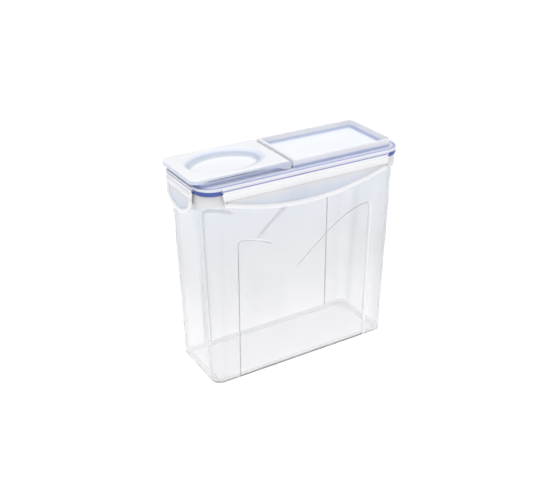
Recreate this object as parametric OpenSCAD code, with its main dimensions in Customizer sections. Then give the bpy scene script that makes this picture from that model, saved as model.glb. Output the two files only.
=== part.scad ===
// Slim see-through cereal dispenser: a tapered box with a clip-down lid, four side latches on
// living hinges, and a flip-top pour cap. Millimetres, +Z up, origin at the middle of the base.
// -Y is the wide front, -X the pouring end, +X the tray end.

/* [Overall] */
// Height from the base to the top of the lid's tray rim and of the closed cap
total_h = 237; // [200:1:280]
// Length of the container's outside just under its collar
box_l = 234; // [190:1:280]
// Width of the container's outside just under its collar
box_w = 85.8; // [76:0.2:110]
// How much shorter the base is than the top
base_in_l = 12.8; // [6:0.2:20]
// How much narrower the base is than the top
base_in_w = 3.4; // [2:0.2:10]

/* [Container] */
// Corner radius just under the collar
corner_top = 16; // [12:0.5:20]
// Corner radius at the base
corner_base = 11; // [9:0.5:15]
// Wall thickness
wall = 1.8; // [1.4:0.1:2.4]
// Floor thickness
floor_t = 2.2; // [1.6:0.1:3]
// Rounding where the walls meet the floor
foot_round = 3.5; // [2:0.5:5]
// Depth by which the wide faces' middle panel is set in
panel_d = 1.3; // [0.8:0.1:1.8]
// Plain wall left on each side of the middle panel
panel_side = 35; // [25:1:50]
// Height of the collar round the mouth
collar_h = 12.5; // [9:0.5:16]
// How far the collar stands out from the wall under it
collar_out = 2.1; // [1.5:0.1:3]

/* [Lid] */
// Height of the tray rim above the lid's flange
rim_h = 9; // [6:0.5:12]
// Thickness of the lid's flange
flange_t = 3; // [2:0.5:4]
// Thickness of the lid's deck
deck_t = 2; // [1.5:0.1:3]
// How far the lid's skirt reaches down into the mouth
skirt_h = 11; // [7:0.5:14]
// Thickness of the skirt
skirt_t = 1.6; // [1.2:0.1:2.2]
// Gap between the skirt and the container's inside wall
skirt_gap = 0.5; // [0.3:0.05:0.8]
// Thickness of the tray's rim wall
rim_t = 2.2; // [1.6:0.1:3]
// Height of the blue ring under the flange
seal_h = 4.2; // [3:0.1:5]
// Gap left between the blue ring and the container's mouth
seal_gap = 0.3; // [0.2:0.05:0.6]

/* [Latches] */
// Distance from a long latch's end to the container's end
long_end = 18; // [17:0.5:30]
// Distance from a short latch's end to the container's side
short_end = 14.4; // [14.4:0.2:20]
// Drop of a latch from its hinge line to its lowest point
latch_drop = 29.9; // [26:0.1:34]
// Thickness of a latch's plate
latch_t = 1.5; // [1.2:0.1:2]
// Height by which a latch's border stands out from its plate
latch_border = 1.6; // [1:0.1:2]
// Bow of a long latch's lower edge
long_bow = 15; // [8:0.5:17]
// Bow of a short latch's lower edge
short_bow = 11; // [6:0.5:12]
// How far the catch reaches under the collar when snapped shut
catch_bite = 0.5; // [0.4:0.05:0.6]
// Angle between snapped shut and the drawn pose, just clear of the collar
unsnapped = 3; // [3:0.5:5]
// Thickness of the bending strip
web_t = 0.8; // [0.5:0.1:1]

/* [Pour cap] */
// Distance of the cap's hinge from the middle, towards the pouring end
pin_back = 18.6; // [10:0.2:24]
// Space from the dish's side to the cap's side
dish_side = 8; // [8:0.5:12]
// Thickness of the cap's plate
cap_t = 2.2; // [1.8:0.1:2.6]
// How far the cap's sides stand in from the container's sides
cap_in = 5.9; // [5.5:0.1:8]
// How far the cap's free end reaches past the hinge line of the latch under it
cap_over = 3.2; // [2.6:0.1:6]
// Hinge pin radius
pin_r = 1.1; // [0.9:0.05:1.3]
// Running gap between pin and bore, on the radius
pin_gap = 0.05; // [0.02:0.01:0.1]

/* [Hidden] */
$fn = 64;
e = 0.01;
col_clear = [0.86, 0.89, 0.95];
col_milk = [0.93, 0.94, 0.96];
col_blue = [0.16, 0.22, 0.62];

deck_top = total_h - rim_h;                 // top of flange and deck
flange_bot = deck_top - flange_t;
seal_bot = flange_bot - seal_h;
mouth_z = seal_bot - seal_gap;              // top of the container's mouth
collar_bot = mouth_z - collar_h;
L0 = box_l / 2;
W0 = box_w / 2;
Lb = L0 - base_in_l / 2;
Wb = W0 - base_in_w / 2;
colL = L0 + collar_out;
colW = W0 + collar_out;
colR = corner_top + collar_out;
axis_out = 2.8;                             // hinge axis outside the collar's face
axL = colL + axis_out;
axW = colW + axis_out;
axis_z = flange_bot - 2.3;
flL = axL - 1.3;                            // flange outline
flW = axW - 1.3;
flR = colR + 1.5;
seL = axL - latch_t - 0.35;                 // blue ring outline
seW = axW - latch_t - 0.35;
seR = flR - 0.5;
tilt_w = atan((W0 - Wb) / collar_bot);
inL = L0 - wall - skirt_gap;                // skirt outline
inW = W0 - wall - skirt_gap;
inR = corner_top - wall - skirt_gap;
panel_half = L0 - panel_side;
long_half = L0 - long_end;
short_half = W0 - short_end;
cap_half = W0 - cap_in;
cap_reach = axL + cap_over;
rimL = L0 - 6.2;                            // tray rim outline
rimW = cap_half + 0.6;
rimR = 7;
pin_x = -pin_back;                          // cap hinge axis
pin_z = total_h - 4.6;
nose_r = total_h - pin_z - 0.15;
wall_x = pin_x + 5.3;                       // left face of the tray's end wall
neck_gap = 0.4;                             // between the cap's blue ring and the neck
neck_t = 1.8;
ring_t = 1.2;                               // how far that ring stands out from the plug
neck_in = ring_t + neck_gap;
curb_h = 4.2;
curbW = cap_half - 2.3;
curb_x = -L0 - 0.5;
dish_a = (pin_x - curb_x - 16.9) / 2;       // half length of the dish's mouth
dish_b = cap_half - dish_side;              // half width of the dish's mouth
mouth_x = curb_x + 4.5 + dish_a;            // middle of the pour mouth
end_r = dish_b - 8;                         // end radius of the dish's mouth
plug_a = dish_a - 1;
plug_b = dish_b - 1;

// ---- shared outlines ----

module round_rect(l, w, r) {
    square([2 * l, 2 * (w - r)], center = true);
    square([2 * (l - r), 2 * w], center = true);
    for (x = [-1, 1], y = [-1, 1]) translate([x * (l - r), y * (w - r)]) circle(r);
}

// Rounded rectangle with its ends at x0 and x1
module span_rect(x0, x1, w, r) {
    translate([(x0 + x1) / 2, 0]) round_rect((x1 - x0) / 2, w, r);
}

// Four-arc oval of half sizes a and b with end radius r
module oval(a, b, r) {
    d = ((a - r) * (a - r) - (b - r) * (b - r)) / (2 * (b - r));
    big = b + d;
    xt = (a - r) * big / (big - r);
    intersection() {
        translate([0, -d]) circle(big, $fn = 160);
        translate([0, d]) circle(big, $fn = 160);
        square([2 * xt, 2 * b + 2], center = true);
    }
    for (s = [-1, 1]) translate([s * (a - r), 0]) circle(r);
}

// Places a part drawn for the front, hinge axis on X at the origin, on one of the four sides
module on_side(turn, reach) {
    rotate([0, 0, turn]) translate([0, -reach, axis_z]) children();
}

// ---- container ----

// Tapered shell: half sizes and corner radius grow evenly with height, foot rounded
module tapered(l0, w0, r0, l1, w1, r1, z0, z1, round_by) {
    hull() {
        for (x = [-1, 1], y = [-1, 1]) {
            for (a = [0, 30, 60, 90]) {
                s = round_by * (1 - sin(a));
                translate([x * (l0 - r0), y * (w0 - r0), z0 + round_by * (1 - cos(a))])
                    cylinder(r = r0 - s, h = e, $fn = 48);
            }
            translate([x * (l1 - r1), y * (w1 - r1), z1 - e]) cylinder(r = r1, h = e, $fn = 48);
        }
    }
}

// The set-in panel's outline in X and Z: a long sweep rising to the right, a short one to the left
module panel_outline(inset) {
    h = panel_half - inset;
    k = mouth_z / 220.5;
    m = panel_half / 82;
    polygon([[-h, -5], [h, -5], [h, 164 * k - inset], [h - 2.5, 170 * k - inset],
             [h - 8, 172.8 * k - inset], [62 * m, 170 * k - inset], [49 * m, 164.9 * k - inset],
             [36.4 * m, 157 * k - inset], [26.4 * m, 150 * k - inset],
             [15.2 * m, 141.2 * k - inset], [5.3 * m, 133.4 * k - inset],
             [-3.5 * m, 125.5 * k - inset], [-15.8 * m, 114 * k - inset],
             [-22 * m, 122 * k - inset], [-31 * m, 142 * k - inset],
             [-38 * m, 152 * k - inset], [-46 * m, 159.5 * k - inset],
             [-58 * m, 165.6 * k - inset], [-h + 10, 168 * k - inset],
             [-h + 3, 166 * k - inset], [-h, 160 * k - inset]]);
}

// Slab lying on the wide wall's slope, everything outside the plane at depth d
module panel_slab(d, inset, side) {
    mirror([0, side > 0 ? 1 : 0, 0])
        translate([0, -Wb + d, 0]) rotate([tilt_w, 0, 0])
            rotate([90, 0, 0]) linear_extrude(12) panel_outline(inset);
}

module container() color(col_clear) {
    top_k = (mouth_z + 1) / collar_bot;     // the taper carried on up inside the collar
    difference() {
        union() {
            difference() {
                tapered(Lb, Wb, corner_base, L0, W0, corner_top, 0, collar_bot + 2, foot_round);
                for (s = [-1, 1]) panel_slab(panel_d, 0, s);
            }
            translate([0, 0, collar_bot]) linear_extrude(collar_h) round_rect(colL, colW, colR);
        }
        difference() {
            tapered(Lb - wall, Wb - wall, corner_base - wall,
                    L0 - wall + 0.4, W0 - wall + 0.1, corner_top - wall,
                    floor_t, mouth_z + 1, foot_round - 1);
            intersection() {
                for (s = [-1, 1]) panel_slab(panel_d + wall - 0.3, wall, s);
                translate([0, 0, collar_bot / 2]) cube([2 * L0, 2 * W0, collar_bot], center = true);
            }
        }
    }
}

// ---- lid ----

module neck_outline() translate([mouth_x, 0])
    oval(plug_a + neck_in + neck_t, plug_b + neck_in + neck_t, end_r - 1 + neck_in + neck_t);

module lid() color(col_clear) difference() {
    union() {
        // flange ring, deck and skirt
        translate([0, 0, flange_bot]) linear_extrude(flange_t) difference() {
            round_rect(flL, flW, flR);
            round_rect(inL - skirt_t, inW - skirt_t, inR - skirt_t);
        }
        translate([0, 0, deck_top - deck_t]) linear_extrude(deck_t) round_rect(inL, inW, inR);
        translate([0, 0, flange_bot - skirt_h]) linear_extrude(skirt_h + 1) difference() {
            round_rect(inL, inW, inR);
            round_rect(inL - skirt_t, inW - skirt_t, inR - skirt_t);
        }
        // ledges that the bending strips hang from
        for (t = [0, 180]) on_side(t, axW)
            translate([-long_half, -0.7, 1.3]) cube([2 * long_half, 2.2, flange_t + 1]);
        for (t = [90, 270]) on_side(t, axL)
            translate([-short_half, -0.7, 1.3]) cube([2 * short_half, 2.2, flange_t + 1]);
        // tray rim on the +X half
        translate([0, 0, deck_top - e]) linear_extrude(rim_h + e) difference() {
            span_rect(wall_x - 30, rimL, rimW, rimR);
            span_rect(wall_x + 1.8 + rim_t, rimL - rim_t, rimW - rim_t, rimR - rim_t);
            translate([wall_x - 50, -50]) square([50, 100]);
        }
        // low curb round the mouth, and the mouth's neck
        translate([0, 0, deck_top - e]) linear_extrude(curb_h + e) difference() {
            span_rect(curb_x, wall_x + 20, curbW, 8);
            span_rect(curb_x + 1.8, wall_x + 30, curbW - 1.8, 6.2);
            translate([pin_x + pin_r - 0.4, -50]) square([60, 100]);
        }
        translate([0, 0, seal_bot]) linear_extrude(deck_top - seal_bot) intersection() {
            neck_outline();
            round_rect(inL, inW, inR);
        }
        translate([0, 0, deck_top - e]) linear_extrude(curb_h + e) neck_outline();
        // hinge lugs
        for (s = [-1, 1]) {
            translate([pin_x, s * (curbW - 1.2), pin_z]) rotate([90, 0, 0])
                cylinder(r = pin_r + 1, h = 2.8, center = true);
            translate([pin_x, s * (curbW - 1.2) + 1.4, pin_z]) rotate([90, 0, 0]) linear_extrude(2.8)
                polygon([[-pin_r - 1, 0], [pin_r + 1, 0], [pin_r - 0.3, deck_top - pin_z - e],
                         [-pin_r - 1, deck_top - pin_z - e]]);
        }
    }
    // mouth
    translate([mouth_x, 0, seal_bot - 1]) linear_extrude(30)
        oval(plug_a + neck_in, plug_b + neck_in, end_r - 1 + neck_in);
    // hinge bores
    translate([pin_x, 0, pin_z]) rotate([90, 0, 0])
        cylinder(r = pin_r + pin_gap, h = 2 * curbW + 10, center = true);
    // slope on the tray's end wall, so the cap can swing past upright
    translate([0, 60, 0]) rotate([90, 0, 0]) linear_extrude(120)
        polygon([[wall_x, pin_z + 0.8], [wall_x + 1.8, total_h + e], [wall_x + 1.8, total_h + 3],
                 [wall_x - 3, total_h + 3], [wall_x - 3, pin_z + 0.8]]);
}

module lid_gasket() color(col_blue)
    translate([0, 0, seal_bot]) linear_extrude(seal_h) difference() {
        round_rect(seL, seW, seR);
        round_rect(inL, inW, inR);
    }

// Radius of an arc from its half chord and its bow
function arc_r(half, bow) = (half * half + bow * bow) / (2 * bow);

// ---- latches, drawn for the front: hinge axis on X at the origin, outwards is -Y ----

// Outline in X and Z: straight top, slanted ends, bowed lower edge of radius r
module latch_outline(half, slant, r, inset, top_in) {
    intersection() {
        translate([0, -latch_drop + r]) circle(r - inset, $fn = 256);
        polygon([[-half + inset, -0.7 - top_in], [half - inset, -0.7 - top_in],
                 [half - inset - slant, -latch_drop], [-half + inset + slant, -latch_drop]]);
    }
}

module latch(half, slant, r, catch_half) rotate([-unsnapped, 0, 0]) color(col_milk) {
    // plate
    translate([0, latch_t, 0]) rotate([90, 0, 0]) linear_extrude(latch_t)
        latch_outline(half, slant, r, 0, 0);
    // border round a shallow pocket
    rotate([90, 0, 0]) linear_extrude(latch_border) difference() {
        latch_outline(half, slant, r, 0, 2.3);
        latch_outline(half, slant, r, 4.2, 7.3);
    }
    // rounded roll along the top
    translate([0, 0.1, -4.9]) intersection() {
        rotate([0, 90, 0]) cylinder(r = 2.4, h = 2 * half - 1.6, center = true);
        translate([-half, -4, -4]) cube([2 * half, 5, 8]);
    }
    // catch with a slanted underside
    translate([-catch_half, 0, 0]) rotate([90, 0, 90]) linear_extrude(2 * catch_half)
        polygon([[latch_t - e, catch_z], [axis_out + catch_bite, catch_z],
                 [axis_out + catch_bite, catch_z - 0.8], [latch_t - e, catch_z - 3.6]]);
}
catch_z = collar_bot - 0.4 - axis_z;

module long_latch() latch(long_half, 5, arc_r(long_half - 5, long_bow), long_half - 21);
module short_latch() latch(short_half, 3, arc_r(short_half - 3, short_bow), short_half - 9.5);
module latch_front() on_side(0, axW) long_latch();
module latch_back() on_side(180, axW) long_latch();
module latch_left() on_side(-90, axL) short_latch();
module latch_right() on_side(90, axL) short_latch();

// ---- bending strips between lid and latches ----

module web(half) color(col_milk)
    translate([-half + 1, -web_t / 2, -0.7 + 0.02]) cube([2 * half - 2, web_t, 2 - 0.02]);
module hinge_web_front() on_side(0, axW) web(long_half);
module hinge_web_back() on_side(180, axW) web(long_half);
module hinge_web_left() on_side(-90, axL) web(short_half);
module hinge_web_right() on_side(90, axL) web(short_half);

// ---- pour cap ----

// Side profile of the cap's skirt in X and Z, round at the hinge
module cap_profile() {
    polygon([[pin_x, total_h + 1], [-cap_reach - 1, total_h + 1], [-cap_reach - 1, total_h - 4.5],
             [-cap_reach + 8, total_h - 4.0], [-cap_reach + 20, total_h - 3.0],
             [mouth_x, total_h - 2.8], [pin_x - 29, total_h - 3.2], [pin_x - 17, total_h - 4.2],
             [pin_x - 10, total_h - 5.6], [pin_x - 6, total_h - 7.4], [pin_x, pin_z - 4]]);
    translate([pin_x, pin_z]) circle(4);
}

module pour_cap() color(col_milk) difference() {
    union() {
        // plate with a nose rounded about the hinge axis
        translate([0, 0, total_h - cap_t]) linear_extrude(cap_t) difference() {
            span_rect(-cap_reach, 20, cap_half, 9);
            translate([pin_x, -50]) square([60, 100]);
        }
        intersection() {
            translate([pin_x, 0, pin_z]) rotate([90, 0, 0])
                cylinder(r = nose_r, h = 2 * cap_half, center = true);
            translate([pin_x - 1, -50, total_h - cap_t]) cube([20, 100, 10]);
        }
        // skirt round the sides and the free end
        intersection() {
            translate([0, 0, deck_top]) linear_extrude(rim_h) difference() {
                span_rect(-cap_reach, 20, cap_half, 9);
                span_rect(-cap_reach + 1.8, 22, cap_half - 1.8, 7.2);
            }
            translate([0, 60, 0]) rotate([90, 0, 0]) linear_extrude(120) cap_profile();
            translate([-200, -60, 0]) cube([200 + pin_x + nose_r, 120, total_h]);
        }
        // plug
        translate([mouth_x, 0, deck_top - 0.6]) linear_extrude(rim_h + 0.6 - 0.1)
            oval(plug_a, plug_b, end_r - 1);
        // hinge pins
        for (s = [-1, 1]) translate([pin_x, s * (cap_half - 1.8 - 1.2), pin_z])
            rotate([90, 0, 0]) cylinder(r = pin_r, h = 3.4, center = true);
    }
    // dish, with a shallow step round its mouth
    translate([mouth_x, 0, deck_top + 1.2]) linear_extrude(rim_h)
        oval(plug_a - 1.8, plug_b - 1.8, end_r - 2.8);
    translate([mouth_x, 0, total_h - 0.9]) linear_extrude(2) oval(dish_a, dish_b, end_r);
}

module cap_gasket() color(col_blue)
    translate([mouth_x, 0, deck_top + 1.8]) linear_extrude(2) difference() {
        oval(plug_a + ring_t, plug_b + ring_t, end_r - 1 + ring_t);
        oval(plug_a, plug_b, end_r - 1);
    }

container();
lid();
lid_gasket();
latch_front();
latch_back();
latch_left();
latch_right();
hinge_web_front();
hinge_web_back();
hinge_web_left();
hinge_web_right();
pour_cap();
cap_gasket();
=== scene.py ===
import logging
import math
from collections.abc import Sequence
from dataclasses import dataclass, field
from enum import Enum

import bmesh
import bpy
from mathutils import Matrix, Vector
from mathutils.kdtree import KDTree


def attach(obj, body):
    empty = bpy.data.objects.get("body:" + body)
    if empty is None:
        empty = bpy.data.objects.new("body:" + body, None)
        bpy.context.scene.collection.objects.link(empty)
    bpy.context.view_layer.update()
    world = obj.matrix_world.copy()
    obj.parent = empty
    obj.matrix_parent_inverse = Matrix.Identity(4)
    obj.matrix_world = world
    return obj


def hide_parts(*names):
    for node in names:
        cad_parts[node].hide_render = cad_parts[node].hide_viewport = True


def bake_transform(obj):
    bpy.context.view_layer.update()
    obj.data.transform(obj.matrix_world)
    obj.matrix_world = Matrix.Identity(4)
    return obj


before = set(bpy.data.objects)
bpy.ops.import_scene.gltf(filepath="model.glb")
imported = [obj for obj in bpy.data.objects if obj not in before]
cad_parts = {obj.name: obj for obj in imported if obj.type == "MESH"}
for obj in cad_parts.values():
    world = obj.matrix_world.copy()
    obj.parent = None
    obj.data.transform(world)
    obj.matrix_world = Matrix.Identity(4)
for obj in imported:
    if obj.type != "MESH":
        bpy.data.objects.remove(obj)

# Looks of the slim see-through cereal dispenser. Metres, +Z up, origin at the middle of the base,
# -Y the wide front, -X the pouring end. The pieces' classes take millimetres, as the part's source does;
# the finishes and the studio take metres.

LOG = logging.getLogger("dispenser")
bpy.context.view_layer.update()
MM = 0.001

Loop = list[Vector]
Pair = tuple[float, float]
Triple = tuple[float, float, float]
Value = "Wire | float | tuple | bpy.types.NodeSocket"


# ---------------------------------------------------------------------------------------------
# Modelling by hand: outlines, skins extruded loop by loop, modifiers
# ---------------------------------------------------------------------------------------------


class Solver(Enum):
    """What a boolean does with its second shape."""

    CUT = "DIFFERENCE"
    JOIN = "UNION"
    KEEP = "INTERSECT"


def round_rect(x0: float, x1: float, half_w: float, radius: float, z: float, steps: int = 10,
               left: float | None = None) -> Loop:
    """Draws a rounded rectangle, corner by corner.

    Args:
        x0: End on the -X side.
        x1: End on the +X side.
        half_w: Half of its width.
        radius: Corner radius.
        z: Height.
        steps: Segments in each corner.
        left: Radius of the corners on the -X side, where it differs.

    Returns:
        The outline's points, counterclockwise from the +X end.
    """
    far = radius if left is None else left
    corners = ((x1 - radius, half_w - radius, radius, 0), (x0 + far, half_w - far, far, 90),
               (x0 + far, far - half_w, far, 180), (x1 - radius, radius - half_w, radius, 270))
    return [Vector((cx + r * math.cos(math.radians(start + 90 * k / steps)),
                    cy + r * math.sin(math.radians(start + 90 * k / steps)), z))
            for cx, cy, r, start in corners for k in range(steps + 1)]


def side_view(points: Sequence[Pair], y: float) -> Loop:
    """Stands a side view's outline up in the XZ plane."""
    return [Vector((x, y, z)) for x, z in points]


def arc(centre: Pair, radius: float, start: float, end: float, steps: int) -> list[Pair]:
    """Draws an arc in two dimensions."""
    angles = (math.radians(start + (end - start) * k / steps) for k in range(steps + 1))
    return [(centre[0] + radius * math.cos(a), centre[1] + radius * math.sin(a)) for a in angles]


OVAL_SIDES = 88


def oval(centre_x: float, a: float, b: float, end_r: float, z: float) -> Loop:
    """Draws a four-arc oval, its points spread by the direction that they face.

    Args:
        centre_x: Middle of the oval on X.
        a: Half length.
        b: Half width.
        end_r: Radius of the two ends.
        z: Height.

    Returns:
        The outline's points, counterclockwise from the +X end.
    """
    drop = ((a - end_r) ** 2 - (b - end_r) ** 2) / (2 * (b - end_r))
    big = b + drop
    turn = math.atan2(drop, a - end_r)
    points = []
    for k in range(OVAL_SIDES):
        angle = math.tau * (k + 0.5) / OVAL_SIDES
        folded = math.asin(abs(math.sin(angle)))
        sx, sy = math.copysign(1, math.cos(angle)), math.copysign(1, math.sin(angle))
        if folded < turn:
            x, y = a - end_r + end_r * math.cos(folded), end_r * math.sin(folded)
        else:
            x, y = big * math.cos(folded), big * math.sin(folded) - drop
        points.append(Vector((centre_x + sx * x, sy * y, z)))
    return points


def eased(share: float) -> float:
    """Keeps a share between 0 and 1, and levels its run off at both ends."""
    share = min(1.0, max(0.0, share))
    return share * share * (3 - 2 * share)


def deselect() -> None:
    """Leaves object mode with nothing selected."""
    if bpy.context.object and bpy.context.object.mode != "OBJECT":
        bpy.ops.object.mode_set(mode="OBJECT")
    bpy.ops.object.select_all(action="DESELECT")


def pick(piece: bpy.types.Object) -> None:
    """Makes piece the only selected object, and the active one."""
    deselect()
    piece.select_set(True)
    bpy.context.view_layer.objects.active = piece


def modify(piece: bpy.types.Object, kind: str, **settings: object) -> None:
    """Adds a modifier and applies it.

    Args:
        piece: The mesh object.
        kind: Type of modifier.
        **settings: Its properties.
    """
    pick(piece)
    modifier = piece.modifiers.new(kind.title(), kind)
    for name, value in settings.items():
        setattr(modifier, name, value)
    bpy.ops.object.modifier_apply(modifier=modifier.name)


def combine(piece: bpy.types.Object, tool: bpy.types.Object, how: Solver) -> None:
    """Cuts with, joins or intersects a second mesh, which is then removed."""
    modify(piece, "BOOLEAN", object=tool, operation=how.value, solver="EXACT")
    bpy.data.objects.remove(tool)


def smooth(piece: bpy.types.Object, angle: float, weighted: bool = True) -> None:
    """Shades a mesh smooth up to an angle, flat faces keeping their own direction.

    Args:
        piece: The mesh object.
        angle: Largest smoothed angle, in degrees.
        weighted: Whether large faces decide the shading of the edges beside them.
    """
    pick(piece)
    bpy.ops.object.shade_smooth_by_angle(angle=math.radians(angle))
    if weighted:
        modify(piece, "WEIGHTED_NORMAL", keep_sharp=True, weight=80)


def place(piece: bpy.types.Object, turn: float, reach: float, height: float, tilt: float = 0.0) -> None:
    """Carries a piece drawn for the front, hinge line on X at the origin, to one of the four sides.

    Args:
        piece: The mesh object, still at the origin.
        turn: Turn about Z, in degrees.
        reach: Distance of the hinge line from the middle, in metres.
        height: Height of the hinge line, in metres.
        tilt: Swing outwards about the hinge line, in degrees.
    """
    pick(piece)
    piece.matrix_world = (Matrix.Rotation(math.radians(turn), 4, "Z")
                          @ Matrix.Translation((0, -reach, height))
                          @ Matrix.Rotation(math.radians(-tilt), 4, "X"))
    bpy.ops.object.transform_apply(location=True, rotation=True, scale=True)


def copy_of(piece: bpy.types.Object, name: str) -> bpy.types.Object:
    """Copies a piece with a mesh of its own.

    Args:
        piece: The model for the copy.
        name: The copy's name.

    Returns:
        The copy, linked into the scene.
    """
    double = bpy.data.objects.new(name, piece.data.copy())
    bpy.context.scene.collection.objects.link(double)
    return double


class Skin:
    """A mesh that grows as a hand modeller would grow it: a loop is extruded, and the new edge is placed."""

    def __init__(self, name: str, loop: Loop) -> None:
        """Starts the skin on a ring of edges.

        Args:
            name: The piece's name.
            loop: The first loop's points, in millimetres.
        """
        deselect()
        bpy.ops.mesh.primitive_circle_add(vertices=len(loop), radius=1.0, enter_editmode=True)
        self.piece = bpy.context.object
        self.piece.name = self.piece.data.name = name
        self.last = loop
        for vertex, point in zip(bmesh.from_edit_mesh(self.piece.data).verts, loop):
            vertex.co = point * MM

    def grow(self, *loops: Loop) -> "Skin":
        """Extrudes the open edge once for each loop, and places it there.

        Args:
            *loops: Loops with as many points as the first, in millimetres.

        Returns:
            The skin itself.
        """
        for loop in loops:
            near = KDTree(len(self.last))
            for k, point in enumerate(self.last):
                near.insert(point * MM, k)
            near.balance()
            bpy.ops.mesh.extrude_region_move()
            mesh = bmesh.from_edit_mesh(self.piece.data)
            for vertex in mesh.verts:
                if vertex.select:
                    vertex.co = loop[near.find(vertex.co)[1]] * MM
            self.last = loop
        return self

    def cap(self) -> "Skin":
        """Closes the open edge with one face."""
        bpy.ops.mesh.edge_face_add()
        return self

    def cap_start(self) -> "Skin":
        """Closes the first loop with one face.

        Returns:
            The skin itself.
        """
        bpy.ops.mesh.select_all(action="DESELECT")
        bpy.ops.mesh.select_non_manifold()
        bpy.ops.mesh.edge_face_add()
        return self

    def finish(self) -> bpy.types.Object:
        """Merges what meets, turns the faces outwards and leaves edit mode.

        Returns:
            The mesh object, at the origin.
        """
        bpy.ops.mesh.select_all(action="SELECT")
        bpy.ops.mesh.remove_doubles(threshold=2e-6)
        bpy.ops.mesh.normals_make_consistent(inside=False)
        deselect()
        return self.piece


def solid(name: str, loops: Sequence[Loop]) -> bpy.types.Object:
    """Skins a row of loops and closes both ends."""
    return Skin(name, loops[0]).grow(*loops[1:]).cap().cap_start().finish()


def tube(name: str, loops: Sequence[Loop]) -> bpy.types.Object:
    """Skins a row of loops and carries the last back to the first, as a closed ring."""
    return Skin(name, loops[0]).grow(*loops[1:], loops[0]).finish()


# ---------------------------------------------------------------------------------------------
# Shader maths
# ---------------------------------------------------------------------------------------------


class Wire:
    """A node's output that takes Python arithmetic."""

    def __init__(self, graph: "Graph", socket: bpy.types.NodeSocket) -> None:
        """Keeps the socket and the graph that it belongs to."""
        self.graph = graph
        self.socket = socket

    def _math(self, operation: str, *values: Value) -> "Wire":
        """Adds one Math node."""
        return self.graph.add("ShaderNodeMath", {"operation": operation}, dict(enumerate(values)))

    def __add__(self, other: Value) -> "Wire":
        """Adds."""
        return self._math("ADD", self, other)

    __radd__ = __add__

    def __sub__(self, other: Value) -> "Wire":
        """Subtracts other."""
        return self._math("SUBTRACT", self, other)

    def __rsub__(self, other: Value) -> "Wire":
        """Subtracts from other."""
        return self._math("SUBTRACT", other, self)

    def __mul__(self, other: Value) -> "Wire":
        """Multiplies."""
        return self._math("MULTIPLY", self, other)

    __rmul__ = __mul__

    def __abs__(self) -> "Wire":
        """Drops the sign."""
        return self._math("ABSOLUTE", self)

    def __pow__(self, other: Value) -> "Wire":
        """Raises to a power."""
        return self._math("POWER", self, other)

    def clamp(self) -> "Wire":
        """Keeps the value between 0 and 1."""
        return self._math("MINIMUM", self._math("MAXIMUM", self, 0.0), 1.0)

    def ramp(self, low: float, high: float) -> "Wire":
        """Goes smoothly from 0 at low to 1 at high."""
        return self.graph.add("ShaderNodeMapRange", {"interpolation_type": "SMOOTHSTEP"},
                              {"Value": self, "From Min": low, "From Max": high})


class Graph:
    """The nodes of one material or of the world."""

    def __init__(self, tree: bpy.types.NodeTree) -> None:
        """Empties the tree."""
        self.tree = tree
        tree.nodes.clear()

    def add(self, kind: str, settings: dict[str, object] | None = None,
            inputs: dict[str | int, Value] | None = None, output: str | int = 0) -> Wire:
        """Adds a node of any type.

        Args:
            kind: The node's type.
            settings: Properties, and "stops" for a ramp, set before the sockets.
            inputs: Values or links by socket name or place.
            output: Which output is returned.

        Returns:
            The output.
        """
        node = self.tree.nodes.new(kind)
        for name, value in (settings or {}).items():
            if name == "stops":
                while len(node.color_ramp.elements) < len(value):
                    node.color_ramp.elements.new(1.0)
                for element, (position, colour) in zip(node.color_ramp.elements, value):
                    element.position, element.color = position, (*colour, 1.0)
            else:
                setattr(node, name, value)
        for name, value in (inputs or {}).items():
            if isinstance(value, Wire):
                self.tree.links.new(value.socket, node.inputs[name])
            else:
                node.inputs[name].default_value = value
        return Wire(self, node.outputs[output] if node.outputs else None)

    def mix(self, share: Value, first: Value, second: Value) -> Wire:
        """Mixes two colours.

        Args:
            share: How much of the second.
            first: A colour.
            second: A colour.

        Returns:
            The mixed colour.
        """
        colours = {6: first if isinstance(first, Wire) else (*first, 1.0),
                   7: second if isinstance(second, Wire) else (*second, 1.0)}
        return self.add("ShaderNodeMix", {"data_type": "RGBA"}, {0: share, **colours}, 2)

    def where(self) -> tuple[Wire, Wire]:
        """Reads the point on the piece."""
        point = self.add("ShaderNodeTexCoord", output="Object")
        return point, self.axis(point, 2)

    def principled(self, inputs: dict[str, Value]) -> Wire:
        """Adds a surface shader."""
        return self.add("ShaderNodeBsdfPrincipled", {}, inputs)

    def blend(self, share: Value, first: Wire, second: Wire) -> Wire:
        """Mixes two shaders, share saying how much of the second."""
        return self.add("ShaderNodeMixShader", {}, {0: share, 1: first, 2: second})

    def axis(self, point: Wire, which: int) -> Wire:
        """Takes X, Y or Z, 0 to 2, of a point."""
        return self.add("ShaderNodeSeparateXYZ", inputs={0: point}, output=which)

    def noise(self, point: Wire, scale: float, detail: float = 3.0) -> Wire:
        """Adds soft noise."""
        return self.add("ShaderNodeTexNoise", {}, {"Vector": point, "Scale": scale, "Detail": detail})


# What all the plastics share, in metres: the flow pattern, the relief, the painted band of the seal's blue, the matt
# floor and the distances on Y between which the painted edge shade fades in.
FLOW_STRETCH: Triple = (1, 1, 0.35)
FLOW_SCALE = 26.0
FLOW_DEPTH = 0.25
FLOW_THICK: Pair = (0.35, 0.75)
RELIEF = 0.0002
SEAL_INSIDE: Pair = (-0.0014, -0.0006)
SEAL_OUTSIDE: Pair = (0.0022, 0.0012)
PAINTED_SEAL_TINT: Triple = (0.32, 0.39, 0.70)
SEAL_SHARE = 0.85
FROST_FADE = 0.003
FROST_SHARE = 0.9
FROST_CLEAR = 0.35
FROST_TINTS: tuple[Triple, Triple] = ((0.84, 0.87, 0.90), (0.87, 0.895, 0.92))
EDGE_SHADE_CORNER_FADE: Pair = (0.013, 0.036)


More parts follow.
